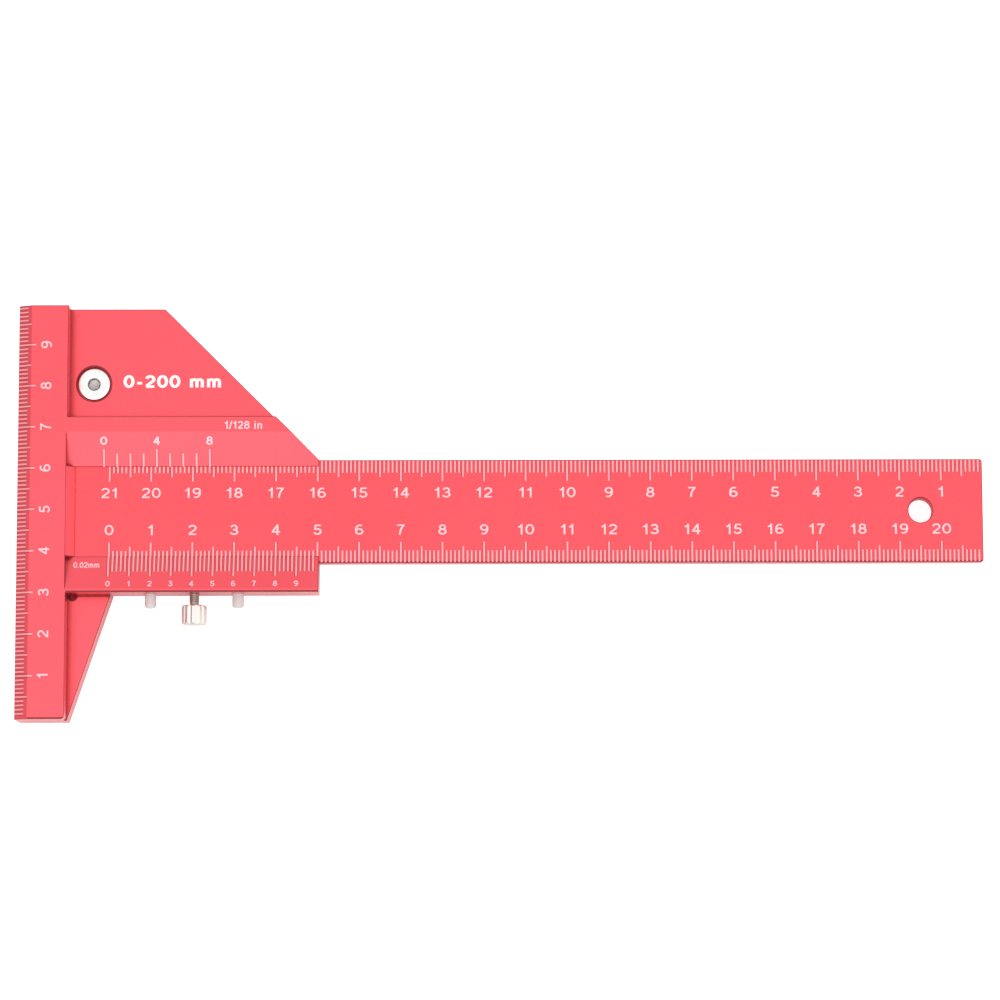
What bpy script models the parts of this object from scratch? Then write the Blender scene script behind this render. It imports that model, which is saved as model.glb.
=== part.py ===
# Marking T-ruler: a graduated blade that slides through a one-piece machined head.
# The head is a thick fence bar, a raised block with a bevelled reading window over the
# blade, a 45 degree plate on one side and a slender gusset plate on the other.
# Metres, +X along the blade, +Y along the fence, +Z up from the table.
# The origin is the middle of the fence's underside.

import math

import bmesh
import bpy
from mathutils import Matrix, Vector

MM = 0.001

# Fence bar
FENCE_LENGTH = 100.0 * MM
FENCE_WIDTH = 12.0 * MM
FENCE_HEIGHT = 12.0 * MM
FENCE_BEVEL_RUN = 3.2 * MM
FENCE_BEVEL_DROP = 1.5 * MM
FENCE_CORNER_RADIUS = 0.9 * MM

# Blade
BLADE_LENGTH = 232.0 * MM
BLADE_WIDTH = 25.0 * MM
BLADE_THICKNESS = 3.0 * MM
BLADE_EDGE_BREAK = 0.25 * MM
BLADE_CORNER_RADIUS = 0.6 * MM
HANG_HOLE_RADIUS = 2.9 * MM
HANG_HOLE_FROM_END = 15.0 * MM
SLIDE_CLEARANCE = 0.1 * MM

# Block that carries the verniers: the same wall lies over and under the blade
BLOCK_REACH = 60.3 * MM
BLOCK_NORTH = 22.8 * MM
BLOCK_SOUTH = 19.7 * MM
BLOCK_WALL = 2.5 * MM

# Reading window: its lips slope down to a thin edge on the blade
LIP_EDGE = 0.4 * MM
NORTH_LIP_INNER = 10.95 * MM
NORTH_LIP_OUTER = 19.1 * MM
SOUTH_LIP_INNER = 10.85 * MM
SOUTH_LIP_OUTER = 18.8 * MM
LIP_OVERLAP = 0.05 * MM
WINDOW_INTO_FENCE = 0.2 * MM
WINDOW_RAMP = 2.0 * MM

# Side plates
PLATE_THICKNESS = 6.5 * MM
PLATE_LAP = 4.0 * MM
MITRE_PLATE_TOP = 22.8 * MM
GUSSET_WIDTH = 10.2 * MM
CORNER_RELIEF_RADIUS = 1.15 * MM
CORNER_RELIEF_OFFSET = 1.05 * MM
CORNER_RELIEF_DEPTH = 4.0 * MM
CORNER_RELIEF_RISE = 1.0 * MM
FOOT_GROOVE_RADIUS = 0.22 * MM
FOOT_GROOVE_OUT = 0.12 * MM
FOOT_GROOVE_UP = 0.02 * MM
FOOT_GROOVE_TURN = 0.55 * MM

# Broken edges of the head
EDGE_BREAK = 0.4 * MM

# Thumb screw that locks the blade, with a brass pad between its tip and the blade
LOCK_FROM_FENCE = 30.45 * MM
LOCK_SHANK_RADIUS = 1.2 * MM
LOCK_PAD_LENGTH = 1.6 * MM
KNOB_RADIUS = 3.02 * MM
KNOB_LENGTH = 4.6 * MM
KNOB_STAND_OFF = 2.8 * MM
KNOB_CHAMFER = 0.35 * MM
KNOB_FLUTES = 12
KNOB_FLUTE_RADIUS = 0.42 * MM
KNOB_FLUTE_DEPTH = 0.3 * MM

# Nylon screws that set how stiffly the blade slides
TENSION_SPACING = 10.5 * MM
TENSION_RADIUS = 1.38 * MM
TENSION_STAND_OUT = 3.4 * MM
TENSION_SLOT_WIDTH = 0.5 * MM
TENSION_SLOT_DEPTH = 0.8 * MM
THREAD_CLEARANCE = 0.1 * MM
SEAT_GAP = 0.05 * MM
HOLE_COUNTERSINK = 0.3 * MM

# Flat screw with a wide head, let into the 45 degree plate
FLAT_SCREW_FROM_FENCE = 5.7 * MM
FLAT_SCREW_FROM_END = 18.4 * MM
FLAT_HEAD_RADIUS = 3.85 * MM
FLAT_HEAD_THICKNESS = 1.6 * MM
FLAT_HEAD_CHAMFER = 0.25 * MM
FLAT_SHANK_RADIUS = 1.95 * MM
FLAT_HEAD_CLEARANCE = 0.45 * MM
HEX_ACROSS_FLATS = 2.5 * MM
HEX_DEPTH = 1.1 * MM

ROUND_STEPS = 32
CUT_OVER = 2.0 * MM

# Places that follow from the sizes
fence_west = -FENCE_WIDTH / 2
fence_east = FENCE_WIDTH / 2
block_east = fence_east + BLOCK_REACH
head_top = FENCE_HEIGHT
slot_height = BLADE_THICKNESS + 2 * SLIDE_CLEARANCE
slot_top = head_top - BLOCK_WALL
slot_bottom = slot_top - slot_height
block_bottom = slot_bottom - BLOCK_WALL
blade_top = slot_top - SLIDE_CLEARANCE
blade_bottom = blade_top - BLADE_THICKNESS
blade_middle = (blade_top + blade_bottom) / 2
slot_half = BLADE_WIDTH / 2 + SLIDE_CLEARANCE
lip_top = slot_top + LIP_EDGE
window_west = fence_east - WINDOW_INTO_FENCE
blade_edge = -BLADE_WIDTH / 2
knob_near = -BLOCK_SOUTH - KNOB_STAND_OFF
knob_far = knob_near - KNOB_LENGTH
lock_x = fence_east + LOCK_FROM_FENCE
flat_screw_x = fence_east + FLAT_SCREW_FROM_FENCE
flat_screw_y = FENCE_LENGTH / 2 - FLAT_SCREW_FROM_END
flat_head_seat = PLATE_THICKNESS - FLAT_HEAD_THICKNESS
gusset_east = fence_east + GUSSET_WIDTH
mitre_east_at_end = fence_east + MITRE_PLATE_TOP
block_corner_north = FENCE_LENGTH / 2 - (block_east - mitre_east_at_end)


def clear_scene():
    for obj in list(bpy.data.objects):
        bpy.data.objects.remove(obj, do_unlink=True)


def new_collection(name):
    collection = bpy.data.collections.new(name)
    bpy.context.scene.collection.children.link(collection)
    return collection


def paint(name, colour, roughness, metallic):
    material = bpy.data.materials.new(name)
    material.use_nodes = True
    shader = material.node_tree.nodes["Principled BSDF"]
    shader.inputs["Base Color"].default_value = (*colour, 1.0)
    shader.inputs["Roughness"].default_value = roughness
    shader.inputs["Metallic"].default_value = metallic
    return material


def arc_points(centre, radius, start, end, steps):
    turn = (end - start) / steps
    return [
        (centre[0] + radius * math.cos(start + turn * i), centre[1] + radius * math.sin(start + turn * i))
        for i in range(steps + 1)
    ]


def rounded(corners, steps=4):
    """Outline through (x, y, radius) corners, with an arc at each corner that has a radius."""
    points = []
    for index, (x, y, radius) in enumerate(corners):
        here = Vector((x, y))
        if radius <= 0:
            points.append((x, y))
            continue
        before = (Vector(corners[index - 1][:2]) - here).normalized()
        after = (Vector(corners[(index + 1) % len(corners)][:2]) - here).normalized()
        half_angle = before.angle(after) / 2
        centre = here + (before + after).normalized() * (radius / math.sin(half_angle))
        first = here + before * (radius / math.tan(half_angle)) - centre
        last = here + after * (radius / math.tan(half_angle)) - centre
        start = math.atan2(first.y, first.x)
        sweep = math.atan2(last.y, last.x) - start
        sweep = (sweep + math.pi) % (2 * math.pi) - math.pi
        points += arc_points(centre, radius, start, start + sweep, steps)
    return points


def circle(centre, radius, steps=ROUND_STEPS):
    return arc_points(centre, radius, 0, 2 * math.pi, steps)[:-1]


def prism(name, outlines, low, high, matrix=Matrix.Identity(4)):
    """Filled 2D curve, extruded from low to high along its own Z and made a welded mesh."""
    curve = bpy.data.curves.new(name, "CURVE")
    curve.dimensions = "2D"
    curve.fill_mode = "BOTH"
    curve.extrude = (high - low) / 2
    for outline in outlines:
        spline = curve.splines.new("POLY")
        spline.points.add(len(outline) - 1)
        for point, (x, y) in zip(spline.points, outline):
            point.co = (x, y, 0, 1)
        spline.use_cyclic_u = True
    guide = bpy.data.objects.new(name + "_outline", curve)
    bpy.context.scene.collection.objects.link(guide)
    mesh = mesh_of(guide)
    bpy.data.objects.remove(guide, do_unlink=True)
    obj = bpy.data.objects.new(name, mesh)
    edit = bmesh.new()
    edit.from_mesh(mesh)
    bmesh.ops.translate(edit, verts=edit.verts, vec=(0, 0, (low + high) / 2))
    bmesh.ops.transform(edit, matrix=matrix, verts=edit.verts)
    weld(edit)
    merge_flats(edit)
    edit.to_mesh(mesh)
    edit.free()
    return obj


def weld(edit):
    """Welds loose caps and turns every face outwards."""
    bmesh.ops.remove_doubles(edit, verts=edit.verts, dist=1e-6)
    bmesh.ops.recalc_face_normals(edit, faces=edit.faces)


def merge_flats(edit):
    """Merges neighbours that lie in one plane, so that only real edges are left."""
    bmesh.ops.dissolve_limit(
        edit, angle_limit=math.radians(0.2), use_dissolve_boundaries=False, verts=edit.verts, edges=edit.edges
    )
    loose = [edge for edge in edit.edges if not edge.link_faces]
    bmesh.ops.delete(edit, geom=loose, context="EDGES")
    edit.normal_update()


def mesh_of(obj):
    bpy.context.view_layer.update()
    graph = bpy.context.evaluated_depsgraph_get()
    return bpy.data.meshes.new_from_object(obj.evaluated_get(graph))


def turned(name, profile, steps=ROUND_STEPS):
    """Body of revolution about Z from (radius, z) points that run down its outer side."""
    mesh = bpy.data.meshes.new(name)
    points = [(radius, 0, z) for radius, z in profile]
    mesh.from_pydata(points, [(i, i + 1) for i in range(len(points) - 1)], [])
    obj = bpy.data.objects.new(name, mesh)
    bpy.context.scene.collection.objects.link(obj)
    screw = obj.modifiers.new("turn", "SCREW")
    screw.steps = steps
    screw.render_steps = steps
    screw.use_merge_vertices = True
    screw.merge_threshold = 0.000001
    solid = mesh_of(obj)
    bpy.data.objects.remove(obj, do_unlink=True)
    return bpy.data.objects.new(name, solid)


def combine(target, other, operation):
    """Boolean of two meshes, made real and welded. The other object is removed."""
    for obj in (target, other):
        if obj.name not in bpy.context.scene.collection.objects:
            bpy.context.scene.collection.objects.link(obj)
    change = target.modifiers.new(operation.lower(), "BOOLEAN")
    change.operation = operation
    change.solver = "EXACT"
    change.object = other
    mesh = mesh_of(target)
    target.modifiers.clear()
    target.data = mesh
    edit = bmesh.new()
    edit.from_mesh(mesh)
    weld(edit)
    edit.to_mesh(mesh)
    edit.free()
    bpy.data.objects.remove(other, do_unlink=True)


def break_edges(obj, chosen, width):
    """Chamfers the convex edges for which chosen(edge) is true."""
    edit = bmesh.new()
    edit.from_mesh(obj.data)
    merge_flats(edit)
    edges = [e for e in edit.edges if len(e.link_faces) == 2 and e.is_convex and chosen(e)]
    bmesh.ops.bevel(edit, geom=edges, offset=width, segments=1, affect="EDGES", profile=0.5, clamp_overlap=True)
    weld(edit)
    edit.to_mesh(obj.data)
    edit.free()


def between_flat_and_wall(edge):
    slopes = sorted(abs(face.normal.z) for face in edge.link_faces)
    return slopes[0] < 0.01 and slopes[1] > 0.99


def at_height(edge, *heights):
    return all(min(abs(v.co.z - h) for h in heights) < 1e-6 for v in edge.verts)


def place(obj, collection, material, location=(0, 0, 0), rotation=(0, 0, 0)):
    for user in list(obj.users_collection):
        user.objects.unlink(obj)
    collection.objects.link(obj)
    obj.location = location
    obj.rotation_euler = rotation
    obj.data.materials.clear()
    obj.data.materials.append(material)
    obj.data.shade_smooth()
    obj.data.set_sharp_from_angle(angle=math.radians(30))


def along_y(x, z):
    """Matrix that lays a body made along +Z along -Y, at the screws' height."""
    return Matrix.Translation((x, 0, z)) @ Matrix.Rotation(math.radians(90), 4, "X")


def profile_along_y():
    """Matrix for an outline drawn in X and Z and extruded along -Y."""
    return Matrix.Rotation(math.radians(90), 4, "X")


def profile_along_x():
    """Matrix for an outline drawn in Y and Z and extruded along +X."""
    return Matrix(((0, 0, 1, 0), (1, 0, 0, 0), (0, 1, 0, 0), (0, 0, 0, 1)))


def billet():
    """The head's whole outline at the fence's full height, before anything is milled away."""
    half = FENCE_LENGTH / 2
    outline = [
        (fence_west, -half),
        (fence_east, -half),
        (gusset_east, -BLOCK_SOUTH),
        (block_east, -BLOCK_SOUTH),
        (block_east, block_corner_north),
        (mitre_east_at_end, half),
        (fence_west, half),
    ]
    return prism("head_body", [outline], 0, head_top)


def fence_bevel():
    over_run = FENCE_BEVEL_RUN * CUT_OVER / FENCE_BEVEL_DROP
    outline = [
        (fence_west - over_run, head_top - FENCE_BEVEL_DROP - CUT_OVER),
        (fence_west + FENCE_BEVEL_RUN + over_run, head_top + CUT_OVER),
        (fence_west - over_run, head_top + CUT_OVER),
    ]
    reach = FENCE_LENGTH / 2 + CUT_OVER
    return prism("fence_bevel", [outline], -reach, reach, profile_along_y())


def mitre_step():
    """Steps the 45 degree plate down from the fence and the block."""
    high = FENCE_LENGTH / 2 + CUT_OVER
    east = block_east + CUT_OVER
    outline = [(fence_east, BLOCK_NORTH), (east, BLOCK_NORTH), (east, high), (fence_east, high)]
    return prism("mitre_step", [outline], PLATE_THICKNESS, head_top + CUT_OVER)


def gusset_step():
    """Steps the gusset plate down and rounds the fence's corner above it; it leaves the block's south face untouched."""
    end = -FENCE_LENGTH / 2
    radius = FENCE_CORNER_RADIUS
    east = gusset_east + CUT_OVER
    outline = [
        (fence_east - radius, end - CUT_OVER),
        (east, end - CUT_OVER),
        (east, -BLOCK_SOUTH - CUT_OVER),
        (gusset_east, -BLOCK_SOUTH),
        (fence_east, -BLOCK_SOUTH),
    ]
    outline += arc_points((fence_east - radius, end + radius), radius, 0, -math.pi / 2, 6)
    return prism("gusset_step", [outline], PLATE_THICKNESS, head_top + CUT_OVER)


def underside_relief():
    """Lifts the block off the table, apart from where the two plates lap under it."""
    lap_south = -BLOCK_SOUTH + PLATE_LAP
    lap_north = BLOCK_NORTH - PLATE_LAP
    east = block_east + CUT_OVER
    south = -BLOCK_SOUTH - CUT_OVER
    outline = [
        (fence_east, lap_south),
        (gusset_east, lap_south),
        (gusset_east, -BLOCK_SOUTH),
        (gusset_east + CUT_OVER, south),
        (east, south),
        (east, lap_north),
        (fence_east, lap_north),
    ]
    return prism("underside_relief", [outline], -CUT_OVER, block_bottom)


def blade_slot():
    outline = [(-slot_half, slot_bottom), (slot_half, slot_bottom), (slot_half, slot_top), (-slot_half, slot_top)]
    return prism("slot", [outline], fence_west - CUT_OVER, block_east + CUT_OVER, profile_along_x())


def lip_bevel(side, inner, outer):
    """Wedge that slopes one lip of the window; side is +1 for the north lip."""
    rise = head_top - lip_top
    run_over = (outer - inner) * CUT_OVER / rise
    outline = [
        (side * (inner - LIP_OVERLAP), lip_top),
        (side * inner, lip_top),
        (side * (outer + run_over), head_top + CUT_OVER),
        (side * (inner - LIP_OVERLAP), head_top + CUT_OVER),
    ]
    return prism("lip_bevel", [outline], window_west, block_east + CUT_OVER, profile_along_x())


def window_middle():
    """Open middle of the window, with a ramp at the fence's end."""
    rise = head_top - lip_top
    over = WINDOW_RAMP * CUT_OVER / rise
    outline = [
        (window_west - over, head_top + CUT_OVER),
        (window_west + WINDOW_RAMP, lip_top),
        (window_west + WINDOW_RAMP, slot_top - SLIDE_CLEARANCE),
        (block_east + CUT_OVER, slot_top - SLIDE_CLEARANCE),
        (block_east + CUT_OVER, head_top + CUT_OVER),
    ]
    return prism("window", [outline], -NORTH_LIP_INNER, SOUTH_LIP_INNER, profile_along_y())


def side_hole(x, radius):
    """Hole along Y from the block's south face into the slot, with a countersunk mouth."""
    mouth = BLOCK_SOUTH
    profile = [
        (0, mouth + CUT_OVER),
        (radius + HOLE_COUNTERSINK + CUT_OVER, mouth + CUT_OVER),
        (radius, mouth - HOLE_COUNTERSINK),
        (radius, slot_half - CUT_OVER / 2),
        (0, slot_half - CUT_OVER / 2),
    ]
    cutter = turned("side_hole", profile)
    cutter.data.transform(along_y(x, blade_middle))
    return cutter


def counterbore():
    radius = FLAT_HEAD_RADIUS + FLAT_HEAD_CLEARANCE
    shank = FLAT_SHANK_RADIUS + THREAD_CLEARANCE
    profile = [
        (0, PLATE_THICKNESS + CUT_OVER),
        (radius, PLATE_THICKNESS + CUT_OVER),
        (radius, flat_head_seat - SEAT_GAP),
        (shank, flat_head_seat - SEAT_GAP),
        (shank, -CUT_OVER),
        (0, -CUT_OVER),
    ]
    cutter = turned("counterbore", profile)
    cutter.data.transform(Matrix.Translation((flat_screw_x, flat_screw_y, 0)))
    return cutter


def corner_relief():
    """Small drilled relief in the inner corner of fence, block and gusset."""
    low = PLATE_THICKNESS - CORNER_RELIEF_DEPTH
    high = PLATE_THICKNESS + CORNER_RELIEF_RISE
    centre = (fence_east + CORNER_RELIEF_OFFSET, -BLOCK_SOUTH - CORNER_RELIEF_RADIUS / 4)
    return prism("corner_relief", [circle(centre, CORNER_RELIEF_RADIUS, 16)], low, high)


def foot_grooves():
    """Fine groove along the foot of the block's south face; it turns off at 45 degrees near the gusset's edge."""
    y, z = -BLOCK_SOUTH - FOOT_GROOVE_OUT, PLATE_THICKNESS + FOOT_GROOVE_UP
    turn_x = gusset_east - FOOT_GROOVE_TURN
    straight = prism(
        "foot_groove",
        [circle((y, z), FOOT_GROOVE_RADIUS, 10)],
        fence_east + CORNER_RELIEF_OFFSET,
        turn_x,
        profile_along_x(),
    )
    corner = Matrix.Translation((turn_x, y, 0)) @ Matrix.Rotation(math.radians(-45), 4, "Z") @ profile_along_x()
    leaving = prism(
        "leaving_groove",
        [circle((0, z + FOOT_GROOVE_UP / 2), FOOT_GROOVE_RADIUS, 10)],
        -FOOT_GROOVE_RADIUS,
        2 * FOOT_GROOVE_TURN,
        corner,
    )
    return [straight, leaving]


def head(collection, material):
    body = billet()
    for cutter in (fence_bevel(), mitre_step(), gusset_step(), underside_relief()):
        combine(body, cutter, "DIFFERENCE")
    break_edges(body, lambda e: between_flat_and_wall(e) and at_height(e, head_top, PLATE_THICKNESS, 0), EDGE_BREAK)
    cuts = [
        blade_slot(),
        lip_bevel(1, NORTH_LIP_INNER, NORTH_LIP_OUTER),
        lip_bevel(-1, SOUTH_LIP_INNER, SOUTH_LIP_OUTER),
        window_middle(),
        counterbore(),
        corner_relief(),
        *foot_grooves(),
        side_hole(lock_x, LOCK_SHANK_RADIUS + THREAD_CLEARANCE),
    ]
    for side in (-1, 1):
        cuts.append(side_hole(lock_x + side * TENSION_SPACING, TENSION_RADIUS + THREAD_CLEARANCE))
    for cutter in cuts:
        combine(body, cutter, "DIFFERENCE")
    place(body, collection, material)


def blade(collection, material):
    """The blade's own origin is the middle of its fence end, on the slide's line."""
    half = BLADE_WIDTH / 2
    outline = rounded(
        [
            (0, -half, 0),
            (BLADE_LENGTH, -half, BLADE_CORNER_RADIUS),
            (BLADE_LENGTH, half, BLADE_CORNER_RADIUS),
            (0, half, 0),
        ]
    )
    hole = circle((BLADE_LENGTH - HANG_HOLE_FROM_END, 0), HANG_HOLE_RADIUS)
    body = prism("ruler_blade", [outline, hole], -BLADE_THICKNESS / 2, BLADE_THICKNESS / 2)
    break_edges(body, between_flat_and_wall, BLADE_EDGE_BREAK)
    place(body, collection, material, location=(fence_west, 0, blade_middle))


def knob_profile():
    """(radius, distance outwards) of the thumb screw, from the knob's face in to its tip."""
    tip = -blade_edge + LOCK_PAD_LENGTH + 2 * SEAT_GAP
    far, near = -knob_far, -knob_near
    return [
        (0, far),
        (KNOB_RADIUS - KNOB_CHAMFER, far),
        (KNOB_RADIUS, far - KNOB_CHAMFER),
        (KNOB_RADIUS, near + KNOB_CHAMFER),
        (KNOB_RADIUS - KNOB_CHAMFER, near),
        (LOCK_SHANK_RADIUS, near),
        (LOCK_SHANK_RADIUS, tip),
        (0, tip),
    ]


def flute_cutter():
    """All the flutes of the knob, as one mesh of parallel rods."""
    cutter = bpy.data.meshes.new("flutes")
    edit = bmesh.new()
    out = KNOB_RADIUS + KNOB_FLUTE_RADIUS - KNOB_FLUTE_DEPTH
    middle = -(knob_near + knob_far) / 2
    for index in range(KNOB_FLUTES):
        angle = 2 * math.pi * (index + 0.5) / KNOB_FLUTES
        matrix = Matrix.Translation((out * math.cos(angle), out * math.sin(angle), middle))
        bmesh.ops.create_cone(
            edit,
            cap_ends=True,
            segments=10,
            radius1=KNOB_FLUTE_RADIUS,
            radius2=KNOB_FLUTE_RADIUS,
            depth=KNOB_LENGTH + CUT_OVER,
            matrix=matrix,
        )
    edit.to_mesh(cutter)
    edit.free()
    return bpy.data.objects.new("flutes", cutter)


def lock_screw(collection, material):
    body = turned("lock_screw", knob_profile(), KNOB_FLUTES * 4)
    combine(body, flute_cutter(), "DIFFERENCE")
    place(body, collection, material, location=(lock_x, 0, blade_middle), rotation=(math.radians(90), 0, 0))


def lock_pad(collection, material):
    near = -blade_edge + SEAT_GAP
    far = near + LOCK_PAD_LENGTH
    chamfer = KNOB_CHAMFER / 2
    profile = [
        (0, far),
        (LOCK_SHANK_RADIUS, far),
        (LOCK_SHANK_RADIUS, near + chamfer),
        (LOCK_SHANK_RADIUS - chamfer, near),
        (0, near),
    ]
    body = turned("lock_pad", profile)
    place(body, collection, material, location=(lock_x, 0, blade_middle), rotation=(math.radians(90), 0, 0))


def tension_screw(name, x, collection, material):
    near = -blade_edge + SEAT_GAP
    far = BLOCK_SOUTH + TENSION_STAND_OUT
    chamfer = KNOB_CHAMFER
    profile = [
        (0, far),
        (TENSION_RADIUS - chamfer, far),
        (TENSION_RADIUS, far - chamfer),
        (TENSION_RADIUS, near + chamfer),
        (TENSION_RADIUS - chamfer, near),
        (0, near),
    ]
    body = turned(name, profile)
    half = TENSION_SLOT_WIDTH / 2
    reach = TENSION_RADIUS + CUT_OVER
    slot = [(-reach, -half), (reach, -half), (reach, half), (-reach, half)]
    combine(body, prism("driver_slot", [slot], far - TENSION_SLOT_DEPTH, far + CUT_OVER), "DIFFERENCE")
    place(body, collection, material, location=(x, 0, blade_middle), rotation=(math.radians(90), 0, 0))


def flat_head_screw(collection, material):
    profile = [
        (0, PLATE_THICKNESS - SEAT_GAP),
        (FLAT_HEAD_RADIUS - FLAT_HEAD_CHAMFER, PLATE_THICKNESS - SEAT_GAP),
        (FLAT_HEAD_RADIUS, PLATE_THICKNESS - SEAT_GAP - FLAT_HEAD_CHAMFER),
        (FLAT_HEAD_RADIUS, flat_head_seat),
        (FLAT_SHANK_RADIUS, flat_head_seat),
        (FLAT_SHANK_RADIUS, EDGE_BREAK + FLAT_HEAD_CHAMFER),
        (FLAT_SHANK_RADIUS - FLAT_HEAD_CHAMFER, EDGE_BREAK),
        (0, EDGE_BREAK),
    ]
    body = turned("flat_head_screw", profile)
    corner_radius = HEX_ACROSS_FLATS / math.sqrt(3)
    socket = prism(
        "hex_socket",
        [circle((0, 0), corner_radius, 6)],
        PLATE_THICKNESS - HEX_DEPTH,
        PLATE_THICKNESS + CUT_OVER,
    )
    combine(body, socket, "DIFFERENCE")
    place(body, collection, material, location=(flat_screw_x, flat_screw_y, 0))


def build():
    clear_scene()
    ruler = new_collection("marking_t_ruler")
    red = paint("red_anodised_aluminium", (0.80, 0.115, 0.135), 0.42, 0.6)
    blade_red = paint("red_anodised_blade", (0.82, 0.105, 0.125), 0.38, 0.6)
    nickel = paint("nickel_plated_steel", (0.80, 0.77, 0.73), 0.25, 1.0)
    brass = paint("brass", (0.72, 0.52, 0.22), 0.3, 1.0)
    nylon = paint("natural_nylon", (0.75, 0.68, 0.67), 0.5, 0.0)
    bright = paint("bright_steel", (0.85, 0.85, 0.83), 0.22, 1.0)
    head(ruler, red)
    blade(ruler, blade_red)
    lock_screw(ruler, nickel)
    lock_pad(ruler, brass)
    for name, side in (("tension_screw_left", -1), ("tension_screw_right", 1)):
        tension_screw(name, lock_x + side * TENSION_SPACING, ruler, nylon)
    flat_head_screw(ruler, bright)


build()
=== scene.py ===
# Looks of the marking t-ruler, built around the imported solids.
# Sizes in the dictionaries are millimetres, as a maker would measure them.
import math

import bmesh
import bpy
from mathutils import Euler, Matrix, Vector


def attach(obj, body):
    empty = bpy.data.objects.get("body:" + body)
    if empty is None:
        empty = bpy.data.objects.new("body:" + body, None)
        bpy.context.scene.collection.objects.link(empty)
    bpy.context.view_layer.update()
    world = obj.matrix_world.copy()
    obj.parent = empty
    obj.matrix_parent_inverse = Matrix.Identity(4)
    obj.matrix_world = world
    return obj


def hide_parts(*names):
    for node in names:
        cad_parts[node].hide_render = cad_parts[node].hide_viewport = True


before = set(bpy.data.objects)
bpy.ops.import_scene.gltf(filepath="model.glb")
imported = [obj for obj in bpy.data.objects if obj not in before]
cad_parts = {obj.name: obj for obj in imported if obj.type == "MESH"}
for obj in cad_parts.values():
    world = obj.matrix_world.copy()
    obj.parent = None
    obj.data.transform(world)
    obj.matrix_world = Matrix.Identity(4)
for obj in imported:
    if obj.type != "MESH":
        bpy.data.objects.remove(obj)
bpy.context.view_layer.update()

print("frame loaded:", ", ".join(sorted(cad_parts)))
mm = 0.001
rulerScene = bpy.context.scene

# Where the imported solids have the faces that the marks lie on, and where the scales begin
levels = {
    "bladeTop": 9.4,
    "headTop": 12.0,
    "plateTop": 6.5,
    "lipEdge": 9.9,          # thin edge of the reading window on the blade
    "northLip": (10.95, 19.1),
    "southLip": (-10.85, -18.8),
    "blockSides": (-19.7, 22.8),
    "fenceWest": -6.0,
    "fenceEast": 6.0,
    "fenceBevelRun": 3.2,
    "fenceBevelDrop": 1.5,
    "bladeLineEnd": 12.25,   # outer ends of the blade's lines
    "zeroLine": 16.0,        # X of the zero of both blade scales and of the metric vernier
    "inchZero": 14.7,        # X of the zero of the inch vernier
    "inchPitch": 3.175,      # an eighth of an inch
    "fenceZero": -49.65,     # Y of the zero of the fence's scale
}


# Helpers for shader and geometry trees. A socket is given a value, or is joined to another node's output.
def setSockets(tree, node, values):
    for socket, value in values.items():
        if isinstance(value, bpy.types.NodeSocket):
            tree.links.new(value, node.inputs[socket])
        else:
            node.inputs[socket].default_value = value
    return node


def addNode(tree, kind, values=None, **settings):
    node = tree.nodes.new(kind)
    for name, value in settings.items():
        setattr(node, name, value)
    return setSockets(tree, node, values or {})


def mathNode(tree, operation, first, second=None, clamp=False):
    values = {0: first} if second is None else {0: first, 1: second}
    return addNode(tree, "ShaderNodeMath", values, operation=operation, use_clamp=clamp).outputs[0]


# Each step is an operation, its second number, and True where the result is clamped
def mathSteps(tree, value, *steps):
    for operation, *settings in steps:
        value = mathNode(tree, operation, value, *settings)
    return value


def vectorNode(tree, operation, *values):
    return addNode(tree, "ShaderNodeVectorMath", dict(enumerate(values)), operation=operation).outputs


def combineNode(tree, x=0.0, y=0.0, z=0.0):
    return addNode(tree, "ShaderNodeCombineXYZ", {"X": x, "Y": y, "Z": z}).outputs[0]


def newGroup(name, kind, inputs, outputs):
    tree = bpy.data.node_groups.new(name, kind)
    for label, what, value in inputs:
        socket = tree.interface.new_socket(label, in_out="INPUT", socket_type="NodeSocket" + what)
        if value is not None:
            socket.default_value = value
    for label, what in outputs:
        tree.interface.new_socket(label, in_out="OUTPUT", socket_type="NodeSocket" + what)
    return tree, addNode(tree, "NodeGroupInput").outputs, addNode(tree, "NodeGroupOutput")


# Sockets of a mix node that is set to colours
mixFirst, mixSecond, mixResult = 6, 7, 2


def mixTones(tree, share, first, second):
    values = {"Factor": share, mixFirst: first, mixSecond: second}
    return addNode(tree, "ShaderNodeMix", values, data_type="RGBA").outputs[mixResult]


def noiseNode(tree, size, detail, roughness):
    return addNode(tree, "ShaderNodeTexNoise", {
        "Vector": addNode(tree, "ShaderNodeTexCoord").outputs["Object"],
        "Scale": mathNode(tree, "DIVIDE", 1 / mm, size), "Detail": detail, "Roughness": roughness,
    }).outputs["Fac"]


# Shared by the effects: how much deep tone there is on average, how far the grain moves the roughness,
# how steeply a mask rises from its start, the rings' height, and rays per edge or recess
effectLook = {"deepShare": 0.15, "grainInRoughness": 0.5, "maskGain": 6.0, "ringHeight": 0.5, "samples": 6}


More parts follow.
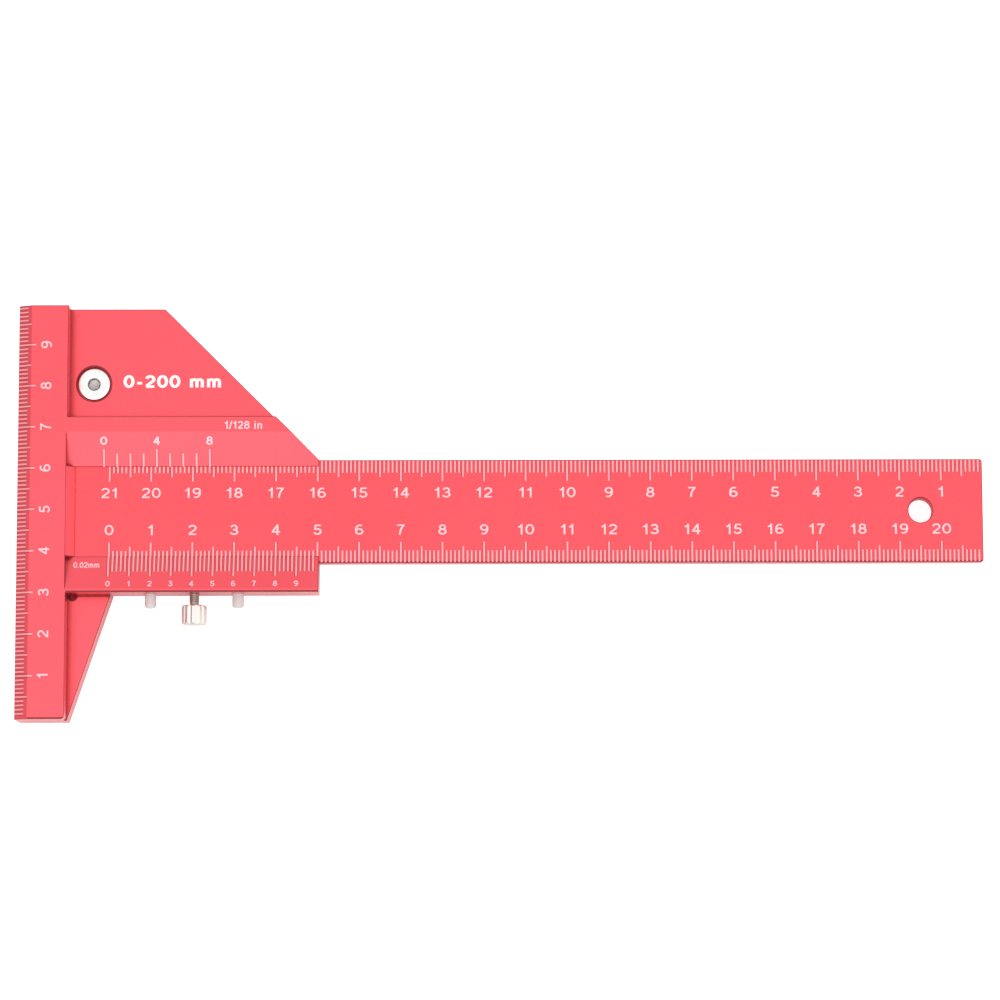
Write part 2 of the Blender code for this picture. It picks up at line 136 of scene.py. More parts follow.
# Fine matt grain of a blasted or moulded surface, with slow changes of tone over it
def makeGrain():
    tree, given, made = newGroup(
        "fineGrain", "ShaderNodeTree",
        [
            ("Tone", "Color", (0.8, 0.1, 0.1, 1)),
            ("Deep tone", "Color", (0.6, 0.05, 0.06, 1)),
            ("Grain size", "Float", 0.2),
            ("Grain amount", "Float", 0.1),
            ("Cloud size", "Float", 30.0),
            ("Cloud amount", "Float", 0.1),
            ("Roughness", "Float", 0.4),
            ("Roughness change", "Float", 0.1),
        ],
        [("Color", "Color"), ("Roughness", "Float"), ("Height", "Float")],
    )
    grain = noiseNode(tree, given["Grain size"], detail=3.0, roughness=0.6)
    cloud = noiseNode(tree, given["Cloud size"], detail=2.0, roughness=0.5)
    cloud = mathNode(tree, "SUBTRACT", cloud, 0.5)
    fine = mathSteps(tree, grain, ("SUBTRACT", 0.5), ("MULTIPLY", given["Grain amount"]))
    slow = mathNode(tree, "MULTIPLY", cloud, given["Cloud amount"])
    share = mathSteps(tree, fine, ("ADD", slow), ("ADD", effectLook["deepShare"], True))
    fromGrain = mathNode(tree, "MULTIPLY", fine, effectLook["grainInRoughness"])
    roughness = mathSteps(tree, cloud, ("MULTIPLY", given["Roughness change"]), ("ADD", fromGrain))
    roughness = mathNode(tree, "ADD", roughness, given["Roughness"])
    color = mixTones(tree, share, given["Tone"], given["Deep tone"])
    setSockets(tree, made, {"Color": color, "Roughness": roughness, "Height": grain})
    return tree


# Edges: a rounded normal, and a painted edge tone, in patches, where the surface turns over an edge
# The edge tone is painted shade on the anodised red and a painted highlight on the turned metals
def makeEdges():
    tree, given, made = newGroup(
        "paintedEdgeShading", "ShaderNodeTree",
        [
            ("Tone", "Color", (0.8, 0.1, 0.1, 1)),
            ("Painted edge tone", "Color", (0.9, 0.5, 0.5, 1)),
            ("Radius", "Float", 0.12),
            ("Painted edge share", "Float", 0.4),
            ("Patch size", "Float", 2.0),
            ("Patch start", "Float", 0.42),
            ("Least turn", "Float", 0.0),
        ],
        [("Color", "Color"), ("Normal", "Vector")],
    )
    radius = mathNode(tree, "MULTIPLY", given["Radius"], mm)
    bevel = addNode(tree, "ShaderNodeBevel", {"Radius": radius}, samples=effectLook["samples"])
    rounded = bevel.outputs["Normal"]
    flat = addNode(tree, "ShaderNodeNewGeometry").outputs["True Normal"]
    turned = mathNode(tree, "SUBTRACT", 1.0, vectorNode(tree, "DOT_PRODUCT", rounded, flat)["Value"])
    rising = ("MULTIPLY", effectLook["maskGain"], True)
    turned = mathSteps(tree, turned, ("SUBTRACT", given["Least turn"]), rising)
    patch = noiseNode(tree, given["Patch size"], detail=4.0, roughness=0.7)
    patchy = mathSteps(tree, patch, ("SUBTRACT", given["Patch start"]), rising)
    mask = mathSteps(tree, turned, ("MULTIPLY", patchy), ("MULTIPLY", given["Painted edge share"]))
    color = mixTones(tree, mask, given["Tone"], given["Painted edge tone"])
    setSockets(tree, made, {"Color": color, "Normal": rounded})
    return tree


# Painted shade in recesses and at the feet of walls, where little light reaches
def makeRecess():
    tree, given, made = newGroup(
        "paintedRecessShade", "ShaderNodeTree",
        [
            ("Tone", "Color", (0.8, 0.1, 0.1, 1)),
            ("Recess shade tone", "Color", (0.4, 0.02, 0.03, 1)),
            ("Reach", "Float", 3.0),
            ("Start", "Float", 0.15),
            ("Gain", "Float", 2.0),
        ],
        [("Color", "Color")],
    )
    around = addNode(
        tree, "ShaderNodeAmbientOcclusion", {"Distance": mathNode(tree, "MULTIPLY", given["Reach"], mm)},
        samples=effectLook["samples"], only_local=True,
    )
    shut = mathNode(tree, "SUBTRACT", 1.0, around.outputs["AO"])
    mask = mathSteps(tree, shut, ("SUBTRACT", given["Start"]), ("MULTIPLY", given["Gain"], True))
    setSockets(tree, made, {"Color": mixTones(tree, mask, given["Tone"], given["Recess shade tone"])})
    return tree


# Fine rings left by a lathe tool, round an axis through Centre
def makeTurning():
    tree, given, made = newGroup(
        "turningRings", "ShaderNodeTree",
        [
            ("Centre", "Vector", (0, 0, 0)),
            ("Axis", "Vector", (0, 0, 1)),
            ("Ring pitch", "Float", 0.12),
        ],
        [("Height", "Float")],
    )
    where = addNode(tree, "ShaderNodeTexCoord").outputs["Object"]
    out = vectorNode(tree, "SUBTRACT", where, given["Centre"])[0]
    across = vectorNode(tree, "CROSS_PRODUCT", out, given["Axis"])[0]
    reach = vectorNode(tree, "LENGTH", across)["Value"]
    along = vectorNode(tree, "DOT_PRODUCT", out, given["Axis"])["Value"]
    turns = mathSteps(tree, reach, ("ADD", along), ("DIVIDE", mm), ("DIVIDE", given["Ring pitch"]))
    wave = mathSteps(tree, turns, ("MULTIPLY", 2 * math.pi), ("SINE",))
    setSockets(tree, made, {"Height": mathNode(tree, "MULTIPLY", wave, effectLook["ringHeight"])})
    return tree


grainGroup = makeGrain()
edgeGroup = makeEdges()
recessShadeGroup = makeRecess()
turningGroup = makeTurning()


def newMaterial(name, values):
    material = bpy.data.materials.new(name)
    material.use_nodes = True
    tree = material.node_tree
    return material, tree, setSockets(tree, tree.nodes["Principled BSDF"], values)


def placeGroup(tree, group, values):
    return addNode(tree, "ShaderNodeGroup", values, node_tree=group).outputs


def joinShader(tree, shader, color, roughness, bump):
    bumped = addNode(tree, "ShaderNodeBump", bump).outputs["Normal"]
    setSockets(tree, shader, {"Base Color": color, "Roughness": roughness, "Normal": bumped})


# Red anodised aluminium, blasted before it was dyed
dyes = {
    "head": {"Tone": (1.0, 0.086, 0.114, 1), "Deep tone": (0.86, 0.054, 0.076, 1)},
    "blade": {"Tone": (1.0, 0.070, 0.092, 1), "Deep tone": (0.86, 0.046, 0.063, 1)},
    # painted shade beside the engraved lines
    "paintedLineShade": {"Tone": (0.68, 0.048, 0.066, 1), "Deep tone": (0.56, 0.034, 0.048, 1)},
    # painted dark reflection, for the strips along the tops of the walls
    "paintedEdgeShading": {"Tone": (0.30, 0.010, 0.020, 1), "Deep tone": (0.20, 0.006, 0.012, 1)},
}
# Painted shade, for the painted edge tone and the recesses:
paintedShadeRed = (0.38, 0.012, 0.020, 1)       # in sharp edges and in the feet of the walls
anodised = {
    "shader": {"Metallic": 0.92, "Coat Weight": 1.0, "Coat IOR": 1.5, "Coat Roughness": 0.30},
    "grain": {
        "Grain size": 0.16, "Grain amount": 0.5, "Cloud size": 45.0, "Cloud amount": 0.35,
        "Roughness": 0.30, "Roughness change": 0.08,
    },
    # painted shade in recesses and at the feet of walls
    "recess": {"Recess shade tone": paintedShadeRed, "Reach": 2.0, "Start": 0.13, "Gain": 2.6},
    "edge": {
        "Painted edge tone": paintedShadeRed, "Radius": 0.38, "Painted edge share": 0.85,
        "Patch size": 6.0, "Patch start": 0.22, "Least turn": 0.05,
    },
    "bump": {"Strength": 0.6, "Distance": 0.006 * mm},
}


def anodisedMaterial(name, dye):
    material, tree, shader = newMaterial(name, anodised["shader"])
    grain = placeGroup(tree, grainGroup, {**dye, **anodised["grain"]})
    recess = placeGroup(tree, recessShadeGroup, {"Tone": grain["Color"], **anodised["recess"]})
    edge = placeGroup(tree, edgeGroup, {"Tone": recess["Color"], **anodised["edge"]})
    bump = {"Height": grain["Height"], "Normal": edge["Normal"], **anodised["bump"]}
    joinShader(tree, shader, edge["Color"], grain["Roughness"], bump)
    return material


# Turned metals differ in tone, roughness and rings. The rings go round the axis of one of the two screws.
thumbAxis = {"Centre": Vector((36.45, 0, 7.9)) * mm, "Axis": (0, 1, 0)}
flatAxis = {"Centre": Vector((11.7, 31.6, 6.5)) * mm, "Axis": (0, 0, 1)}
turnedLook = {
    "grain": {
        "Grain size": 0.25, "Grain amount": 0.3, "Cloud size": 3.0, "Cloud amount": 0.5,
        "Roughness change": 0.12,
    },
    "edge": {"Radius": 0.08, "Painted edge share": 0.5, "Patch size": 1.0},
    "ringDepth": 0.004 * mm,
}
# Each metal's edge tone is a painted highlight along its edges
turnedMetals = {
    "nickelPlate": {
        "tone": (0.97, 0.91, 0.85, 1), "deep": (0.78, 0.70, 0.64, 1), "paintedEdgeHighlight": (1.0, 0.98, 0.95, 1),
        "roughness": 0.30, "rings": {**thumbAxis, "Ring pitch": 0.10}, "ringStrength": 0.35,
    },
    # the same nickel as the knob, made darker: painted shade on the thread
    "shadedThreadNickel": {
        "tone": (0.40, 0.32, 0.29, 1), "deep": (0.20, 0.14, 0.13, 1), "paintedEdgeHighlight": (0.70, 0.62, 0.57, 1),
        "roughness": 0.26, "rings": {**thumbAxis, "Ring pitch": 0.10}, "ringStrength": 0.2,
    },
    "brightScrewSteel": {
        "tone": (0.93, 0.93, 0.91, 1), "deep": (0.72, 0.72, 0.71, 1), "paintedEdgeHighlight": (1.0, 1.0, 0.99, 1),
        "roughness": 0.22, "rings": {**flatAxis, "Ring pitch": 0.14}, "ringStrength": 0.25,
    },
    # the socket's walls: the screw's steel made dark, painted shade
    "shadedSocketWalls": {
        "tone": (0.20, 0.18, 0.18, 1), "deep": (0.09, 0.08, 0.08, 1), "paintedEdgeHighlight": (0.35, 0.33, 0.33, 1),
        "roughness": 0.30, "rings": {**flatAxis, "Ring pitch": 0.14}, "ringStrength": 0.2,
    },
    # the socket's floor: the screw's steel made darker, less than the walls, painted shade
    "shadedSocketFloor": {
        "tone": (0.52, 0.48, 0.47, 1), "deep": (0.26, 0.23, 0.22, 1), "paintedEdgeHighlight": (0.80, 0.78, 0.77, 1),
        "roughness": 0.34, "rings": {**flatAxis, "Ring pitch": 0.20}, "ringStrength": 0.5,
    },
    "padBrass": {
        "tone": (0.80, 0.58, 0.26, 1), "deep": (0.55, 0.36, 0.14, 1), "paintedEdgeHighlight": (0.95, 0.80, 0.50, 1),
        "roughness": 0.30, "rings": {**thumbAxis, "Ring pitch": 0.08}, "ringStrength": 0.4,
    },
}


def turnedMaterial(name, look):
    material, tree, shader = newMaterial(name, {"Metallic": 1.0})
    grain = placeGroup(tree, grainGroup, {
        "Tone": look["tone"], "Deep tone": look["deep"], "Roughness": look["roughness"],
        **turnedLook["grain"],
    })
    edge = placeGroup(tree, edgeGroup, {
        "Tone": grain["Color"], "Painted edge tone": look["paintedEdgeHighlight"], **turnedLook["edge"],
    })
    joinShader(tree, shader, edge["Color"], grain["Roughness"], {
        "Height": placeGroup(tree, turningGroup, look["rings"])["Height"], "Normal": edge["Normal"],
        "Strength": look["ringStrength"], "Distance": turnedLook["ringDepth"],
    })
    return material


# Natural nylon: milky, a little light passes through it
nylonLook = {
    "shader": {
        "Metallic": 0.0, "IOR": 1.53, "Subsurface Weight": 0.25,
        "Subsurface Radius": (1.0, 0.96, 0.94), "Subsurface Scale": 0.5 * mm,
    },
    "grain": {
        "Tone": (0.82, 0.79, 0.78, 1), "Deep tone": (0.66, 0.62, 0.61, 1),
        "Grain size": 0.35, "Grain amount": 0.35, "Cloud size": 1.6, "Cloud amount": 0.6,
        "Roughness": 0.38, "Roughness change": 0.1,
    },
    "bump": {"Strength": 0.3, "Distance": 0.02 * mm},
}


def nylonMaterial():
    material, tree, shader = newMaterial("naturalNylon", nylonLook["shader"])
    grain = placeGroup(tree, grainGroup, nylonLook["grain"])
    bump = {"Height": grain["Height"], **nylonLook["bump"]}
    joinShader(tree, shader, grain["Color"], grain["Roughness"], bump)
    return material


# Filling of the engraved lines and figures: the dye has tinted it, and the bold words stayed white.
# The line filling glows a little: painted light, so that the lines look as bright on sloping faces as on
# level ones.
fillingGrain = {
    "Grain size": 0.12, "Grain amount": 0.5, "Cloud size": 4.0, "Cloud amount": 0.4,
    "Roughness change": 0.1,
}
fillingLooks = {
    "lineFilling": {
        "grain": {"Tone": (1.0, 0.36, 0.39, 1), "Deep tone": (0.92, 0.26, 0.29, 1), "Roughness": 0.32},
        # painted light: this filling glows
        "shader": {"Metallic": 0.95, "Emission Strength": 0.2},
    },
    "scaleFilling": {
        "grain": {"Tone": (1.0, 0.66, 0.70, 1), "Deep tone": (0.92, 0.45, 0.50, 1), "Roughness": 0.40},
        "shader": {"Metallic": 0.75, "Emission Strength": 0.0},
    },
    "wordFilling": {
        "grain": {"Tone": (1.0, 0.97, 0.97, 1), "Deep tone": (0.95, 0.84, 0.85, 1), "Roughness": 0.5},
        "shader": {"Metallic": 0.4, "Emission Strength": 0.0},
    },
}


def fillingMaterial(name, look):
    material, tree, shader = newMaterial(name, look["shader"])
    grain = placeGroup(tree, grainGroup, {**fillingGrain, **look["grain"]})
    setSockets(tree, shader, {
        "Base Color": grain["Color"], "Emission Color": grain["Color"], "Roughness": grain["Roughness"],
    })
    return material


reds = {name: anodisedMaterial(name + "Anodised", dye) for name, dye in dyes.items()}
metals = {name: turnedMaterial(name, look) for name, look in turnedMetals.items()}
nylon = nylonMaterial()
fillings = {name: fillingMaterial(name, look) for name, look in fillingLooks.items()}
print("materials ready")

for name, material in (
    ("head_body", reds["head"]),
    ("ruler_blade", reds["blade"]),
    ("lock_pad", metals["padBrass"]),
    ("tension_screw_left", nylon),
    ("tension_screw_right", nylon),
):
    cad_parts[name].data.materials.clear()
    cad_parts[name].data.materials.append(material)


def newObject(name, data):
    piece = bpy.data.objects.new(name, data)
    rulerScene.collection.objects.link(piece)
    return piece


# Meshes are joined by hand, so that each body gets one plain piece of marks in all its finishes
def joinMeshes(name, meshes):
    joined = bmesh.new()
    finishes = []
    for mesh in meshes:
        before = len(joined.faces)
        joined.from_mesh(mesh)
        joined.faces.ensure_lookup_table()
        for face in joined.faces[before:]:
            finish = mesh.materials[face.material_index]
            if finish not in finishes:
                finishes.append(finish)
            face.material_index = finishes.index(finish)
    joined.normal_update()
    result = bpy.data.meshes.new(name)
    for finish in finishes:
        result.materials.append(finish)
    joined.to_mesh(result)
    joined.free()
    for mesh in meshes:
        bpy.data.meshes.remove(mesh)
    return newObject(name, result)


def evaluatedMesh(host):
    bpy.context.view_layer.update()
    graph = bpy.context.evaluated_depsgraph_get()
    return bpy.data.meshes.new_from_object(host.evaluated_get(graph), depsgraph=graph)


# What a Geometry Nodes tree makes from sizes in millimetres, as a plain mesh in metres
def meshFromTree(tree, values):
    host = newObject("treeHost", bpy.data.meshes.new("treeHost"))
    modifier = host.modifiers.new("build", "NODES")
    modifier.node_group = tree
    for item in tree.interface.items_tree:
        if item.item_type == "SOCKET" and item.in_out == "INPUT" and item.name in values:
            modifier[item.identifier] = values[item.name]
    shape = evaluatedMesh(host)
    bpy.data.objects.remove(host)
    shape.transform(Matrix.Scale(mm, 4))
    return shape


# Last nodes of a geometry tree: the shape is turned, put in place, made real and given its finish
def placeShape(tree, shape, start, turn, finish, smooth=False):
    rotation = addNode(tree, "FunctionNodeEulerToRotation", {0: turn}).outputs[0]
    where = {"Geometry": shape, "Translation": start, "Rotation": rotation}
    shape = addNode(tree, "GeometryNodeTransform", where).outputs[0]
    shape = addNode(tree, "GeometryNodeRealizeInstances", {0: shape}).outputs[0]
    if smooth:
        shape = addNode(tree, "GeometryNodeSetShadeSmooth", {"Geometry": shape}).outputs[0]
    return addNode(tree, "GeometryNodeSetMaterial", {"Geometry": shape, "Material": finish}).outputs[0]


# One row of graduations, as a Geometry Nodes tree. Its own X runs along the row and its own Y
# along each line. Lines follow a slope that rises to the row's own Z = 0 over Slope run.
def makeGraduationTree():
    tree, given, made = newGroup(
        "graduationRow", "GeometryNodeTree",
        [
            ("Count", "Int", 10),
            ("First number", "Int", 0),
            ("Pitch", "Float", 1.0),
            ("Line width", "Float", 0.25),
            ("Line height", "Float", 0.03),
            ("Short line", "Float", 3.0),
            ("Middle line", "Float", 4.0),
            ("Long line", "Float", 5.0),
            ("Middle every", "Int", 5),
            ("Long every", "Int", 10),
            ("Points along line", "Int", 2),
            ("Slope run", "Float", 0.001),
            ("Slope rise", "Float", 0.0),
            ("Row start", "Vector", (0, 0, 0)),
            ("Row turn", "Float", 0.0),
            ("Filling", "Material", None),
        ],
        [("Geometry", "Geometry")],
    )
    row = addNode(tree, "GeometryNodeMeshLine", {
        "Count": given["Count"], "Offset": combineNode(tree, given["Pitch"]),
    }).outputs["Mesh"]

    # each line's own number says how long it is
    number = addNode(tree, "GeometryNodeInputIndex").outputs[0]
    number = mathNode(tree, "ADD", number, given["First number"])
    length = given["Short line"]
    for every, longer in (("Middle every", "Middle line"), ("Long every", "Long line")):
        onCount = mathSteps(tree, number, ("MODULO", given[every]), ("LESS_THAN", 0.5))
        choice = {"Switch": onCount, "False": length, "True": given[longer]}
        length = addNode(tree, "GeometryNodeSwitch", choice, input_type="FLOAT").outputs[0]

    bar = addNode(tree, "GeometryNodeMeshCube", {
        "Size": combineNode(tree, given["Line width"], 1.0, given["Line height"]),
        "Vertices Y": given["Points along line"],
    }).outputs["Mesh"]
    bar = addNode(tree, "GeometryNodeTransform", {"Geometry": bar, "Translation": (0, 0.5, 0)}).outputs[0]
    lines = addNode(tree, "GeometryNodeInstanceOnPoints", {
        "Points": row, "Instance": bar, "Scale": combineNode(tree, 1.0, length, 1.0),
    }).outputs[0]
    lines = addNode(tree, "GeometryNodeRealizeInstances", {0: lines}).outputs[0]

    # lay the lines on the slope
    place = addNode(tree, "GeometryNodeInputPosition").outputs[0]
    along = addNode(tree, "ShaderNodeSeparateXYZ", {0: place}).outputs["Y"]
    lift = mathNode(tree, "DIVIDE", along, given["Slope run"], clamp=True)
    lift = mathSteps(tree, lift, ("SUBTRACT", 1.0), ("MULTIPLY", given["Slope rise"]))
    slope = {"Geometry": lines, "Offset": combineNode(tree, z=lift)}
    laid = addNode(tree, "GeometryNodeSetPosition", slope).outputs[0]
    turn = combineNode(tree, z=given["Row turn"])
    placed = placeShape(tree, laid, given["Row start"], turn, given["Filling"])
    setSockets(tree, made, {0: placed})
    return tree


graduationTree = makeGraduationTree()

# A darker red strip, wider than the line and lower than the filling, lies under each line: painted shade on
# both sides of the line
markHeight = 0.03
lineLooks = (
    {"Line width": 0.80, "Line height": 0.012, "Filling": reds["paintedLineShade"]},
    {"Line width": 0.42, "Line height": markHeight, "Filling": fillings["lineFilling"]},
)
bladeLines = {"Count": 210, "Short line": 2.8, "Middle line": 3.8, "Long line": 4.85}


def lipSlope(lip):
    return {"Slope run": abs(lip[1] - lip[0]), "Slope rise": levels["headTop"] - levels["lipEdge"]}


# The rows. Row start is the middle of the first line's outer end.
graduationRows = {
    "blade": [
        {   # metric scale on the edge beside the screws
            "Pitch": 1.0, "Row turn": 0.0,
            "Row start": (levels["zeroLine"], -levels["bladeLineEnd"], levels["bladeTop"]), **bladeLines,
        },
        {   # the same scale counted back on the other edge
            "Pitch": -1.0, "Row turn": math.pi,
            "Row start": (levels["zeroLine"], levels["bladeLineEnd"], levels["bladeTop"]), **bladeLines,
        },
    ],
    "head": [
        {   # fence scale on the bevelled edge
            "Count": 99, "First number": 1, "Pitch": -1.0, "Row turn": -math.pi / 2,
            "Row start": (levels["fenceWest"], levels["fenceZero"] + 1.0, levels["headTop"]),
            "Short line": 2.3, "Middle line": 3.15, "Long line": 4.27, "Points along line": 5,
            "Slope run": levels["fenceBevelRun"], "Slope rise": levels["fenceBevelDrop"],
        },
        {   # metric vernier
            "Count": 50, "Pitch": -1.0, "Row turn": math.pi,
            "Row start": (levels["zeroLine"], levels["southLip"][0], levels["headTop"]),
            "Short line": 3.7, "Middle line": 4.9, "Long line": 4.9, **lipSlope(levels["southLip"]),
        },
        {   # inch vernier
            "Count": 9, "Pitch": levels["inchPitch"], "Row turn": 0.0,
            "Row start": (levels["inchZero"], levels["northLip"][0], levels["headTop"]),
            "Short line": 3.0, "Middle line": 4.0, "Long line": 4.0, "Middle every": 4, "Long every": 4,
            **lipSlope(levels["northLip"]),
        },
    ],
}
plainRow = {
    "First number": 0, "Middle every": 5, "Long every": 10, "Points along line": 2,
    "Slope run": 0.001, "Slope rise": 0.0,
}


def graduationMeshes(rows):
    return [meshFromTree(graduationTree, {**plainRow, **look, **row}) for row in rows for look in lineLooks]


# Figures, cut with one round-nosed stroke each. A stroke is a list of points in a box one unit high.
def arcPoints(centre, radii, start, end, steps):
    found = []
    for step in range(steps + 1):
        angle = math.radians(start + (end - start) * step / steps)
        found.append((centre[0] + radii[0] * math.cos(angle), centre[1] + radii[1] * math.sin(angle)))
    return found


# Each figure's width and its strokes. A stroke 0.15 thick makes a figure reach from 0 to 1.
half = 0.075
figureStrokes = {
    "0": (0.70, [arcPoints((0.35, 0.5), (0.265, 0.425), 0, 360, 28)]),
    "1": (0.52, [[(0.34, 0.0), (0.34, 1.0)], [(0.335, 0.90), (0.24, 0.78), (0.09, 0.71)]]),
    "2": (0.70, [
        arcPoints((0.35, 0.68), (0.245, 0.245), 168, -28, 12) + [(0.40, 0.40), (0.20, 0.22), (0.115, 0.10)],
        [(0.07, half), (0.63, half)],
    ]),
    "3": (0.70, [
        arcPoints((0.335, 0.715), (0.215, 0.21), 165, -80, 12),
        arcPoints((0.340, 0.295), (0.255, 0.22), 88, -168, 14),
        [(0.26, 0.515), (0.36, 0.515)],
    ]),
    "4": (0.70, [
        [(0.475, 0.0), (0.475, 1.0)], [(0.45, 0.93), (0.11, 0.33)], [(0.045, 0.30), (0.665, 0.30)],
    ]),
    "5": (0.70, [
        [(0.17, 1.0 - half), (0.60, 1.0 - half)], [(0.205, 0.93), (0.145, 0.53)],
        arcPoints((0.335, 0.325), (0.255, 0.25), 138, -160, 16),
    ]),
    "6": (0.70, [
        arcPoints((0.355, 0.32), (0.245, 0.245), 0, 360, 22),
        arcPoints((0.40, 0.50), (0.295, 0.425), 62, 198, 12),
    ]),
    "7": (0.70, [
        [(0.07, 1.0 - half), (0.63, 1.0 - half)], [(0.585, 0.93), (0.42, 0.68), (0.31, 0.36), (0.27, 0.0)],
    ]),
    "8": (0.70, [
        arcPoints((0.35, 0.725), (0.195, 0.20), 0, 360, 22),
        arcPoints((0.35, 0.30), (0.245, 0.225), 0, 360, 22),
    ]),
    "9": (0.70, [
        arcPoints((0.345, 0.68), (0.245, 0.245), 0, 360, 22),
        arcPoints((0.30, 0.50), (0.295, 0.425), -118, 18, 12),
    ]),
    ".": (0.35, [[(0.175, 0.0), (0.175, 0.15)]]),
    "/": (0.36, [[(0.03, -0.02), (0.33, 1.02)]]),
    "-": (0.46, [[(0.06, 0.36), (0.40, 0.36)]]),
    " ": (0.36, []),
    "i": (0.30, [[(0.15, 0.0), (0.15, 0.72)], [(0.15, 0.86), (0.15, 1.0)]]),
    "n": (0.68, [
        [(0.14, 0.0), (0.14, 0.72)],
        [(0.14, 0.42)] + arcPoints((0.345, 0.46), (0.195, 0.195), 160, 0, 10) + [(0.54, 0.0)],
    ]),
    "m": (1.02, [
        [(0.14, 0.0), (0.14, 0.72)],
        [(0.14, 0.42)] + arcPoints((0.325, 0.48), (0.18, 0.175), 160, 0, 10) + [(0.505, 0.0)],
        [(0.505, 0.42)] + arcPoints((0.69, 0.48), (0.18, 0.175), 160, 0, 10) + [(0.87, 0.0)],
    ]),
}
strokeLook = {"depth": 0.2, "leastLean": 0.35, "closedWithin": 1e-5}


# A flat bar along one stroke, mitred at its corners, as a closed solid
def strokeSolid(points, thickness):
    flat = [Vector((x, y, 0)) for x, y in points]
    closed = (flat[0] - flat[-1]).length < strokeLook["closedWithin"]
    if closed:
        flat = flat[:-1]
    count = len(flat)
    shape = bmesh.new()
    sections = []
    for index, point in enumerate(flat):
        before = flat[index - 1] if closed or index else None
        after = flat[(index + 1) % count] if closed or index < count - 1 else None
        ways = [(point - before).normalized()] if before is not None else []
        ways += [(after - point).normalized()] if after is not None else []
        way = sum(ways, Vector()).normalized()
        side = Vector((-way.y, way.x, 0))
        lean = max(strokeLook["leastLean"], abs(side.dot(Vector((-ways[0].y, ways[0].x, 0)))))
        reach = side * thickness / 2 / lean
        top = Vector((0, 0, strokeLook["depth"]))
        corners = (point + reach, point - reach, point - reach + top, point + reach + top)
        sections.append([shape.verts.new(corner) for corner in corners])
    pairs = zip(sections, sections[1:] + sections[:1]) if closed else zip(sections, sections[1:])
    for near, far in pairs:
        for corner in range(4):
            following = (corner + 1) % 4
            shape.faces.new((near[corner], near[following], far[following], far[corner]))
    if not closed:
        shape.faces.new(sections[0][::-1])
        shape.faces.new(sections[-1])
    bmesh.ops.recalc_face_normals(shape, faces=shape.faces)
    mesh = bpy.data.meshes.new("stroke")
    shape.to_mesh(mesh)
    shape.free()
    return mesh


# The strokes of one figure, united to one closed solid
def figureMesh(sign, thickness):
    strokes = [strokeSolid(points, thickness) for points in figureStrokes[sign][1]]
    if not strokes:
        return None
    base = newObject("figure", strokes[0])
    for mesh in strokes[1:]:
        other = newObject("strokeCutter", mesh)
        union = base.modifiers.new("union", "BOOLEAN")
        union.operation = "UNION"
        union.solver = "EXACT"
        union.object = other
        merged = evaluatedMesh(base)
        base.modifiers.remove(union)
        old, base.data = base.data, merged
        bpy.data.meshes.remove(old)
        bpy.data.objects.remove(other)
    mesh = base.data
    bpy.data.objects.remove(base)
    return mesh


figureStore = {}


def figureFor(sign, thickness):
    if (sign, thickness) not in figureStore:
        figureStore[sign, thickness] = figureMesh(sign, thickness)
    return figureStore[sign, thickness]


# Height of the head's upper faces, so that the figures lie on slopes too
def headHeight(x, y):
    bevelEnd = levels["fenceWest"] + levels["fenceBevelRun"]
    south, north = levels["blockSides"]
    if x < bevelEnd:
        return levels["headTop"] - levels["fenceBevelDrop"] * (bevelEnd - x) / levels["fenceBevelRun"]
    if x < levels["fenceEast"]:
        return levels["headTop"]
    if south < y < north:
        inner, outer = levels["northLip"] if y > 0 else levels["southLip"]
        share = min(1.0, max(0.0, (y - inner) / (outer - inner)))
        return levels["lipEdge"] + (levels["headTop"] - levels["lipEdge"]) * share
    return levels["plateTop"]


def bladeHeight(x, y):
    return levels["bladeTop"]


# One label. place is the middle of its baseline, in millimetres.
def labelMeshes(text, place, look, surface, turn):
    height, wide, gap = look["height"], look["wide"], look["gap"]
    cursor = (gap - sum(figureStrokes[sign][0] * wide + gap for sign in text)) / 2
    meshes = []
    for sign in text:
        source = figureFor(sign, look["thickness"])
        if source is not None:
            mesh = source.copy()
            mesh.materials.append(fillings[look["filling"]])
            for vertex in mesh.vertices:
                along = (cursor + vertex.co.x * wide) * height
                up = vertex.co.y * height
                x = place[0] + along * math.cos(turn) - up * math.sin(turn)
                y = place[1] + along * math.sin(turn) + up * math.cos(turn)
                side = 0.5 if vertex.co.z > strokeLook["depth"] / 2 else -0.5
                vertex.co = (x * mm, y * mm, (surface(x, y) + side * markHeight) * mm)
            meshes.append(mesh)
        cursor += figureStrokes[sign][0] * wide + gap
    return meshes


# Figures of each scale. baseline is Y, or X on the fence, whose figures are turned a quarter.
# thickness, wide and gap are shares of the height.
plainFigure = {"filling": "scaleFilling", "thickness": 0.135, "wide": 1.07, "gap": 0.03}
figureSizes = {
    "bladeNear": {"baseline": -5.62, "height": 2.5, "wide": 1.28, "gap": 0.10},
    "bladeFar": {"baseline": 3.36, "height": 2.5, "wide": 1.28, "gap": 0.10},
    "fence": {"baseline": 2.08, "height": 2.62},
    "metricVernier": {"baseline": -18.25, "height": 1.32, "thickness": 0.17, "wide": 1.2},
    "inchVernier": {"baseline": 16.05, "height": 1.9, "thickness": 0.17, "wide": 1.26},
    "metricWords": {"place": (10.8, -13.62), "height": 1.38, "thickness": 0.19, "wide": 0.96, "gap": 0.05},
    "inchWords": {"place": (48.25, 19.75), "height": 1.9, "thickness": 0.17, "gap": 0.06},
    "range": {
        "place": (30.7, 30.8), "height": 2.95, "thickness": 0.22, "wide": 1.22, "gap": 0.16,
        "filling": "wordFilling",
    },
}


